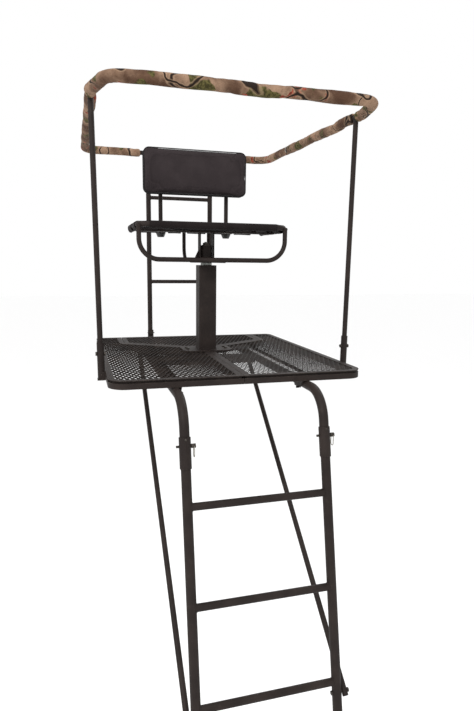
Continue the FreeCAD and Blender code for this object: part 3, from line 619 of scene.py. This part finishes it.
def add_plugs():
    plugs = Shape()
    for name in ("tree_upright_left", "tree_upright_right"):
        low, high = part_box(name)
        middle = (low + high) / 2
        radius = (high.x - low.x) / 2
        plug(plugs, (middle.x, middle.y, high.z), (0, 0, 1), radius)
        plug(plugs, (middle.x, middle.y, low.z), (0, 0, -1), radius)
    for name in ("beam_left", "beam_right"):
        low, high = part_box(name)
        radius = (high.x - low.x) / 2
        plug(plugs, ((low.x + high.x) / 2, high.y, high.z - radius), (0, 1, 0), radius)
    plugs.piece("tube_plugs", "plug_plastic", "stand", "knob_plastic")


def dome(shape, base, way, radius, height):
    spin = Vector(way).to_track_quat("Z", "Y")
    turns = np.arange(20) * 2 * math.pi / 20
    rises = np.linspace(0, 0.97, 7)
    shape.rings([[Vector(base) + spin @ Vector((
        radius * math.cos(math.asin(rise)) * math.cos(t),
        radius * math.cos(math.asin(rise)) * math.sin(t), height * rise)) for t in turns]
        for rise in rises])


def add_sleeve_buttons():
    """Rivet near the top of each sleeve, on the climber's side."""
    buttons = Shape()
    _, down = ladder_line()
    out = Vector((0, -1, 0)) - down * Vector((0, -1, 0)).dot(down)
    for low, high in islands("ladder_sleeves"):
        middle = (low + high) / 2
        top = middle - down * ((high.z - low.z) / 2 - 10 * MM)
        dome(buttons, top + out.normalized() * (RAIL_R + 2.6 * MM), out, 4.2 * MM, 2.6 * MM)
    buttons.piece("sleeve_rivets", "zinc_plate", "stand", "zinc_plate")


# ---- expanded-metal deck ----
STRAND = 5.2 * MM          # strand width
STRAND_SHEET = 1.8 * MM
OPENING_X = 19.0 * MM      # short way of an opening, across the deck
OPENING_Y = 46.0 * MM      # long way, from the ladder to the tree
BOND = 7.0 * MM            # where neighbouring strands stay joined
# tilt of the strands in each panel; those of the two front panels face opposite ways
STRAND_TILTS = {"front_left": math.radians(-72), "front_right": math.radians(40),
                "rear": math.radians(-56)}


def plate_edges(node):
    """Edges round a node's topmost flat faces, seen from above, as (n, 2, 2) numbers."""
    mesh = frame["nodes"][node].data
    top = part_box(node)[1].z - 0.05 * MM
    uses = {}
    for face in mesh.polygons:
        if face.normal.z > 0.9 and face.center.z > top:
            for a, b in face.edge_keys:
                uses[(a, b)] = uses.get((a, b), 0) + 1
    rim = [key for key, count in uses.items() if count == 1]
    return np.array([[mesh.vertices[i].co[:2] for i in key] for key in rim])


def inside(points, edges):
    """Whether each point is inside the outline, by counting crossings."""
    start, end = edges[:, 0], edges[:, 1]
    rising = end[:, 1] != start[:, 1]
    start, end = start[rising], end[rising]
    y = points[:, 1, None]
    spans = (start[:, 1] > y) != (end[:, 1] > y)
    x = start[:, 0] + (y - start[:, 1]) * (end[:, 0] - start[:, 0]) / (end[:, 1] - start[:, 1])
    return (spans & (points[:, 0, None] < x)).sum(axis=1) % 2 == 1


def strand_x(y, phase, tilt):
    """Sideways place of a strand: a wave with flat crests where it joins its neighbours."""
    reach = (OPENING_X / 2 - STRAND * math.cos(tilt)) / 2
    share = (y / OPENING_Y + phase) % 1.0
    flat = BOND / OPENING_Y / 2
    ramp = np.interp(share, [0, flat, 0.5 - flat, 0.5 + flat, 1 - flat, 1], [1, 1, -1, -1, 1, 1])
    return reach * ramp


def add_deck_mesh(panel):
    """Raised expanded metal: tilted strands that bend to and fro between their neighbours."""
    node = "deck_mesh_" + panel
    low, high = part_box(node)
    sheet, flange = plate_edges(node), plate_edges("deck_frame_" + panel)
    shape = Shape()
    tilt = STRAND_TILTS[panel]
    wide = Vector((math.cos(tilt), 0, -math.sin(tilt))) * STRAND / 2
    thick = Vector((math.sin(tilt), 0, math.cos(tilt))) * STRAND_SHEET / 2
    middle_z = DECK.z - 0.5 * MM - abs(wide.z) - abs(thick.z)
    corners = [wide + thick, wide - thick, -wide - thick, thick - wide]
    kinks = sorted(row * OPENING_Y / 2 + way * BOND / 2 for row in range(50) for way in (-1, 1))
    fine = np.arange(low.y, high.y, 1.5 * MM)
    for column in range(math.floor(low.x / OPENING_X * 2), math.ceil(high.x / OPENING_X * 2) + 1):
        x0, phase = column * OPENING_X / 2, (column % 2) / 2
        probe = np.column_stack([x0 + strand_x(fine - DECK.y, phase, tilt), fine])
        within = inside(probe, sheet) & ~inside(probe, flange)
        marks = np.flatnonzero(np.diff(np.concatenate([[0], within.astype(int), [0]])))
        for first, last in zip(marks[::2], marks[1::2]):
            y0, y1 = fine[first], fine[min(last, len(fine)) - 1]
            if y1 - y0 < 4 * MM:
                continue
            turns = [DECK.y + s for s in kinks if y0 + MM < DECK.y + s < y1 - MM]
            ys = np.array([y0, *turns, y1])
            xs = x0 + strand_x(ys - DECK.y, phase, tilt)
            shape.rings([[Vector((x, y, middle_z)) + c for c in corners] for x, y in zip(xs, ys)])
    piece = shape.piece("mesh_" + panel, "deck_mesh", "stand", "deck_mesh", smooth=False)
    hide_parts(node)


# ---- cloth ----
def simulate(piece, pressure, cap, pinned=(), frames=20, stiff=15.0, bend=0.5, grow=0.0):
    """Lets a skin swell and crease, then keeps the result as its mesh."""
    scene = bpy.context.scene
    before = np.array([v.co for v in piece.data.vertices])
    cloth = piece.modifiers.new("swell", "CLOTH")
    rules = cloth.settings
    rules.quality = 6
    rules.mass = 0.25
    rules.tension_stiffness = rules.compression_stiffness = stiff
    rules.shear_stiffness = stiff / 2
    rules.bending_stiffness = bend
    rules.use_pressure = True
    rules.uniform_pressure_force = pressure
    rules.effector_weights.gravity = 0
    rules.shrink_min = -grow
    if len(pinned):
        group = piece.vertex_groups.new(name="pinned")
        group.add([int(i) for i in pinned], 1.0, "REPLACE")
        rules.vertex_group_mass = "pinned"
    cloth.point_cache.frame_end = frames
    for step in range(1, frames + 1):
        scene.frame_set(step)
    shown = piece.evaluated_get(bpy.context.evaluated_depsgraph_get())
    after = np.array([v.co for v in shown.data.vertices])
    scene.frame_set(1)
    piece.modifiers.clear()
    piece.vertex_groups.clear()
    move = after - before
    length = np.linalg.norm(move, axis=1)[:, None]
    move *= cap * np.tanh(length / cap) / np.maximum(length, 1e-9)
    piece.data.vertices.foreach_set("co", (before + move).ravel())
    piece.data.update()


def subdivide(piece, levels=1):
    smooth = piece.modifiers.new("smooth", "SUBSURF")
    smooth.levels = smooth.render_levels = levels


def stitches(shape, points, lift, length=4.5 * MM, gap=1.8 * MM, radius=0.6 * MM):
    """A row of thread stitches on a surface that faces lift."""
    path = [Vector(p) for p in spaced(points, length + gap)]
    lift = Vector(lift) * radius
    for start, after in zip(path, path[1:]):
        end = start.lerp(after, length / (length + gap))
        line = [start - lift, start.lerp(end, 0.2) + lift, start.lerp(end, 0.8) + lift, end - lift]
        shape.rings(circle_rings(line, radius, 6))


# ---- seat sling ----
CLOTH = 1.8 * MM
HEM = 54 * MM              # from a tube's centre line to the free edge of its flap
CORNER = 42 * MM           # open corner of the sling, along each tube
LOOSE = 0.8 * MM           # slack round the tubes

seat_low, seat_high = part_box("seat_frame")
SEAT_R = (seat_high.z - seat_low.z) / 2
SEAT_X = seat_high.x - SEAT_R
SEAT_Y0, SEAT_Y1 = seat_low.y + SEAT_R, seat_high.y - SEAT_R
SEAT_Z = seat_low.z + SEAT_R
WRAP = SEAT_R + CLOTH / 2 + LOOSE


def sling_z(x, y):
    """Middle of the cloth: level with the tubes' tops, sagging nearly to the crossbar."""
    sag = SEAT_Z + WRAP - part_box("seat_sling")[0].z - CLOTH / 2 - 0.7 * MM
    across = min(1.0, abs(x) / SEAT_X)
    back = min(1.0, abs(2 * y - SEAT_Y0 - SEAT_Y1) / (SEAT_Y1 - SEAT_Y0))
    share = (1 - across ** 2.4) * (1 - back ** 2.2)
    ripple = noise.noise(Vector((x * 13, y * 24, 3.1))) + 0.5 * noise.noise(Vector((x * 31, y * 47, 7.7)))
    return SEAT_Z + WRAP - sag * share + 1.3 * MM * ripple * share ** 0.7 * (1 - 0.6 * share)


def stops(marks, step=10 * MM):
    """Grid lines that include every mark."""
    lines = [marks[0]]
    for before, after in zip(marks, marks[1:]):
        lines += list(np.linspace(before, after, max(2, round((after - before) / step) + 1))[1:])
    return lines


def sling_flap(shape, lines, point, droop):
    """Cloth that goes over a tube, round it and back under the sling; point(along, in, z).
    The tube's underside is cleared by droop."""
    rows = []
    for along in lines:
        def under(inward):
            x, y, _ = point(along, inward, 0)
            return sling_z(x, y) - CLOTH - 0.4 * MM - SEAT_Z

        touch = 34 * MM
        far, high = math.hypot(touch, under(touch)), under(touch)
        last = 2 * math.pi + math.atan2(high, touch) - math.acos(WRAP / far)
        slack = droop * (1 + 0.35 * noise.noise(Vector((along * 22, droop * 900, 1.3))))
        row = [point(along, WRAP * math.cos(a), SEAT_Z + WRAP * math.sin(a) + slack * min(0, math.sin(a)))
               for a in np.linspace(math.pi / 2, last, 15)]
        row += [point(along, d, SEAT_Z + under(d)) for d in np.linspace(touch, HEM, 4)]
        rows.append(row)
    size = len(rows[0])
    shape.add([p for row in rows for p in row],
              [(i * size + k, i * size + k + 1, (i + 1) * size + k + 1, (i + 1) * size + k)
               for i in range(len(rows) - 1) for k in range(size - 1)])


def add_sling():
    """The seat's cloth: a sagging panel with a flap round each tube, open at the corners."""
    shape = Shape()
    in_x, in_y0, in_y1 = SEAT_X - CORNER, SEAT_Y0 + CORNER, SEAT_Y1 - CORNER
    bar_y = [centre("seat_crossbar").y + side * 33 * MM for side in (-1, 1)]
    tab_x = [centre("seat_support_right").x - 16 * MM, centre("seat_support_right").x + 16 * MM,
             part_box("backrest_tabs")[1].x - 42 * MM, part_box("backrest_tabs")[1].x + 8 * MM]
    rear = sorted([-x for x in tab_x] + tab_x)
    xs = stops([-SEAT_X, -in_x, *rear, in_x, SEAT_X], 9 * MM)
    ys = stops([SEAT_Y0, in_y0, *bar_y, in_y1, SEAT_Y1], 9 * MM)
    for x0, x1 in zip(xs, xs[1:]):
        for y0, y1 in zip(ys, ys[1:]):
            side = abs(x0 + x1) / 2 > in_x
            end = not in_y0 < (y0 + y1) / 2 < in_y1
            if side and end:
                continue
            shape.add([(x, y, sling_z(x, y)) for x, y in ((x0, y0), (x1, y0), (x1, y1), (x0, y1))],
                      [(0, 1, 2, 3)])
    grid = np.linspace(0, 1, sum(1 for x in xs if x >= in_x - 1e-6))
    for x_way in (-1, 1):
        for y_inner, y_outer in ((in_y0, SEAT_Y0), (in_y1, SEAT_Y1)):
            rows = []
            for t in grid:
                edge = (t, 1 - t)
                rows.append([(x_way * (in_x + CORNER * s * edge[0]),
                              y_inner + (y_outer - y_inner) * s * edge[1]) for s in grid])
            size = len(grid)
            shape.add([(x, y, sling_z(x, y)) for row in rows for x, y in row],
                      [(i * size + k, i * size + k + 1, (i + 1) * size + k + 1, (i + 1) * size + k)
                       for i in range(size - 1) for k in range(size - 1)])
    spans = []
    for way in (-1, 1):
        for y0, y1 in ((in_y0, bar_y[0]), (bar_y[1], in_y1)):
            spans.append(([y for y in ys if y0 - 1e-6 < y < y1 + 1e-6],
                          lambda y, d, z, way=way: (way * (SEAT_X - d), y, z), 7 * MM))
    spans.append(([x for x in xs if abs(x) < in_x + 1e-6],
                  lambda x, d, z: (x, SEAT_Y0 + d, z), 2 * MM))
    edges = [-in_x, *rear, in_x]
    for x0, x1 in zip(edges[::2], edges[1::2]):
        spans.append(([x for x in xs if x0 - 1e-6 < x < x1 + 1e-6],
                      lambda x, d, z: (x, SEAT_Y1 - d, z), 3 * MM))
    for lines, point, droop in spans:
        sling_flap(shape, lines, point, droop)
    piece = shape.piece("sling_cloth", "black_fabric", "seat", "black_fabric")
    work = bmesh.new()
    work.from_mesh(piece.data)
    bmesh.ops.remove_doubles(work, verts=work.verts, dist=0.02 * MM)
    bmesh.ops.recalc_face_normals(work, faces=work.faces)
    work.to_mesh(piece.data)
    work.free()
    piece.data.shade_smooth()
    thick = piece.modifiers.new("thickness", "SOLIDIFY")
    thick.thickness, thick.offset = CLOTH, 0
    seams = Shape()
    for lines, point, _ in spans:
        if lines[-1] - lines[0] < 40 * MM:
            continue
        for inward in (37 * MM, 49 * MM):
            for offset, lift in ((CLOTH / 2, UP), (-CLOTH * 1.5 - 0.4 * MM, -UP)):
                row = []
                for along in (lines[0] + 3 * MM, *lines[1:-1], lines[-1] - 3 * MM):
                    x, y, _ = point(along, inward, 0)
                    row.append((x, y, sling_z(x, y) + offset))
                stitches(seams, row, lift)
    thread = seams.piece("sling_stitches", "thread", "seat", "black_fabric")
    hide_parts("seat_sling")


# ---- backrest cushion ----
def slab_outline(half_x, half_z, bend, count=10):
    """Rounded rectangle in the XZ plane."""
    points = []
    for quarter, (sx, sz) in enumerate(((1, 1), (-1, 1), (-1, -1), (1, -1))):
        for t in np.linspace(0, math.pi / 2, count):
            turn = t + quarter * math.pi / 2
            points.append((sx * (half_x - bend) + bend * math.cos(turn),
                           sz * (half_z - bend) + bend * math.sin(turn)))
    return points


def add_cushion():
    low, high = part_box("backrest_pad")
    middle = (low + high) / 2
    half_x, half_z = (high.x - low.x) / 2, (high.z - low.z) / 2
    depth = high.y - low.y
    profile = [(0.5 * MM, 9 * MM), (2.5 * MM, 4 * MM), (7 * MM, 1.2 * MM), (12 * MM, 0.2 * MM)]
    sides = [(y, inset) for y, inset in profile]
    sides += [(depth - y, inset) for y, inset in reversed(profile)]
    shape = Shape()
    shape.rings([[(middle.x + x, low.y + y, middle.z + z)
                  for x, z in slab_outline(half_x - 2.5 * MM - inset, half_z - 2.5 * MM - inset,
                                           26 * MM - inset)] for y, inset in sides])
    piece = shape.piece("backrest_cushion", "cushion", "seat", "black_fabric")
    remesh = piece.modifiers.new("cells", "REMESH")
    remesh.mode, remesh.voxel_size = "VOXEL", 5 * MM
    shown = piece.evaluated_get(bpy.context.evaluated_depsgraph_get())
    cells = bpy.data.meshes.new_from_object(shown)
    piece.modifiers.clear()
    piece.data = cells
    cells.materials.clear()
    cells.materials.append(MATERIALS["cushion"])
    where = np.array([v.co for v in cells.vertices])
    seam_y = (low.y + 7 * MM, high.y - 7 * MM)
    rim = slab_outline(half_x - 3.7 * MM, half_z - 3.7 * MM, 25 * MM)
    rim = np.array([(middle.x + x, middle.z + z) for x, z in rim])
    near = np.linalg.norm(where[:, None, (0, 2)] - rim[None], axis=2).min(axis=1) < 14 * MM
    pinned = where[:, 1] > high.y - 3 * MM
    for y in seam_y:
        pinned |= near & (np.abs(where[:, 1] - y) < 3 * MM)
    simulate(piece, 4.0, 5 * MM, np.flatnonzero(pinned), grow=0.02)
    subdivide(piece)
    piece.data.shade_smooth()
    cords = Shape()
    for y in seam_y:
        loop = [(middle.x + x, y, middle.z + z)
                for x, z in slab_outline(half_x - 2.8 * MM, half_z - 2.8 * MM, 25 * MM, 14)]
        cords.rings(circle_rings(spaced(loop, 5 * MM, True), 2.4 * MM, 10, True), closed=True)
    cords.piece("cushion_piping", "webbing", "seat", "black_fabric")
    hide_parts("backrest_pad")


# ---- rail pads ----
guard_low, guard_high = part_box("guard_front")
GUARD_R = (guard_high.z - guard_low.z) / 2
PAD_R = 19.3 * MM
PAD_BEND = 60 * MM
SPLAY_X, SPLAY_Y = 45 * MM, 167 * MM      # how the front bar's returns spread


def rail_pad(name, node, corners, belts=()):
    """Foam sleeve in a printed cover, gathered at its ends, creased inside its bends and
    drawn in by any belt round it."""
    path = rounded_path(corners, PAD_BEND, 6 * MM)
    _, along, side, lift = carried_frames(path)
    travel = np.concatenate([[0], np.cumsum(np.linalg.norm(np.diff(path, axis=0), axis=1))])
    total = travel[-1]
    turn = np.gradient(along, axis=0) / np.gradient(travel)[:, None] * PAD_BEND
    angles = np.arange(28) * 2 * math.pi / 28
    seed = 10 * len(name) + ord(name[-1])
    rings, held = [], []
    for i, s in enumerate(travel):
        out = np.cos(angles)[:, None] * side[i] + np.sin(angles)[:, None] * lift[i]
        inward = np.clip(out @ turn[i], 0, 1)
        radius = np.full(28, PAD_R)
        for k, angle in enumerate(angles):
            way = Vector((math.cos(angle), math.sin(angle), 0)) * 0.7
            radius[k] += 2.6 * MM * noise.noise(way + Vector((0, 0, s * 9 + seed)))
            radius[k] += 0.8 * MM * noise.noise(way * 2.5 + Vector((0, 0, s * 40 + seed)))
        radius -= inward * 1.8 * MM * (1 + math.sin(s * 2 * math.pi / (17 * MM)
                                                    + 2 * noise.noise(Vector((s * 20, 0, seed)))))
        for belt in belts:
            radius -= 2.6 * MM * math.exp(-((s - belt) / (9 * MM)) ** 2)
        edge = min(s, total - s)
        radius -= 4.5 * MM * max(0.0, 1 - edge / (11 * MM)) ** 2
        rings.append(path[i] + out * radius[:, None])
        held.append(edge < 3 * MM or any(abs(s - belt) < 4 * MM for belt in belts))
    bore = GUARD_R + 0.7 * MM
    inner = [path[i] + bore * (np.cos(angles)[:, None] * side[i] + np.sin(angles)[:, None] * lift[i])
             for i in range(len(path) - 1, -1, -1)]
    shape = Shape()
    shape.rings(rings + inner, closed=True)
    piece = shape.piece(name, "camo_pad", "stand", "camo_pad")
    fixed = [i * 28 + k for i, hold in enumerate(held) if hold for k in range(28)]
    fixed += range(len(rings) * 28, 2 * len(rings) * 28)
    simulate(piece, 2.0, 3.0 * MM, fixed, grow=0.04)
    subdivide(piece)
    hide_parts(node)
    return path, side, lift, travel


def pad_trim(shape, path, side, lift, where, width, radius, sides=36):
    """A flat band round a pad at one place along it."""
    k = int(np.abs(where).argmin())
    way = np.cross(lift[k], side[k])
    angles = np.arange(sides) * 2 * math.pi / sides
    ring = np.cos(angles)[:, None] * side[k] + np.sin(angles)[:, None] * lift[k]
    half, thin = width / 2, 0.9 * MM
    outline = [(-half, radius), (-half, radius + thin), (half, radius + thin), (half, radius)]
    shape.rings([path[k] + way * a + ring * r for a, r in outline], closed=True)


def add_rail_pads():
    low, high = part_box("guard_pad_front")
    reach = (high.z - low.z) / 2
    z = low.z + reach
    bands = Shape()
    front, splay = low.y + reach, high.x - reach - SPLAY_X
    half = [(splay, front), (high.x - reach, front + SPLAY_Y), (high.x - reach, high.y)]
    corners = [(-x, y, z) for x, y in reversed(half)] + [(x, y, z) for x, y in half]
    pads = [rail_pad("rail_pad_front", "guard_pad_front", corners)]
    for side, word in ((-1, "left"), (1, "right")):
        low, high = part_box("guard_pad_arm_" + word)
        x = (high.x if side > 0 else low.x) - side * reach
        inner = low.x if side > 0 else high.x
        rear_y, rear_z = high.y - reach, high.z - reach
        corners = [(x, low.y, low.z + reach), (x, rear_y, rear_z), (inner, rear_y, rear_z)]
        belts = [0.67] if side > 0 else []
        pads.append(rail_pad("rail_pad_" + word, "guard_pad_arm_" + word, corners, belts))
        if belts:
            path, across, lift, travel = pads[-1]
            pad_trim(bands, path, across, lift, travel - belts[0], 15 * MM, PAD_R - 1.6 * MM)
            ring = Shape()
            pad_trim(ring, path, across, lift, travel - belts[0] - 11 * MM, 2.2 * MM, PAD_R - 0.8 * MM)
            ring.piece("rail_pad_ring", "pale_plastic", "stand", "camo_pad")
    for path, across, lift, travel in pads:
        for k in (1, len(path) - 2):
            pad_trim(bands, path, across, lift, travel - travel[k], 7 * MM, PAD_R - 4.2 * MM)
    bands.piece("rail_pad_bands", "webbing", "stand", "camo_pad")


# ---- everything ----
MATERIALS = make_materials()
finish_frame()
add_camera()
add_stage()
add_stand_welds()
add_seat_welds()
add_plugs()
add_sleeve_buttons()
for panel in ("front_left", "front_right", "rear"):
    add_deck_mesh(panel)
add_sling()
add_cushion()
add_rail_pads()
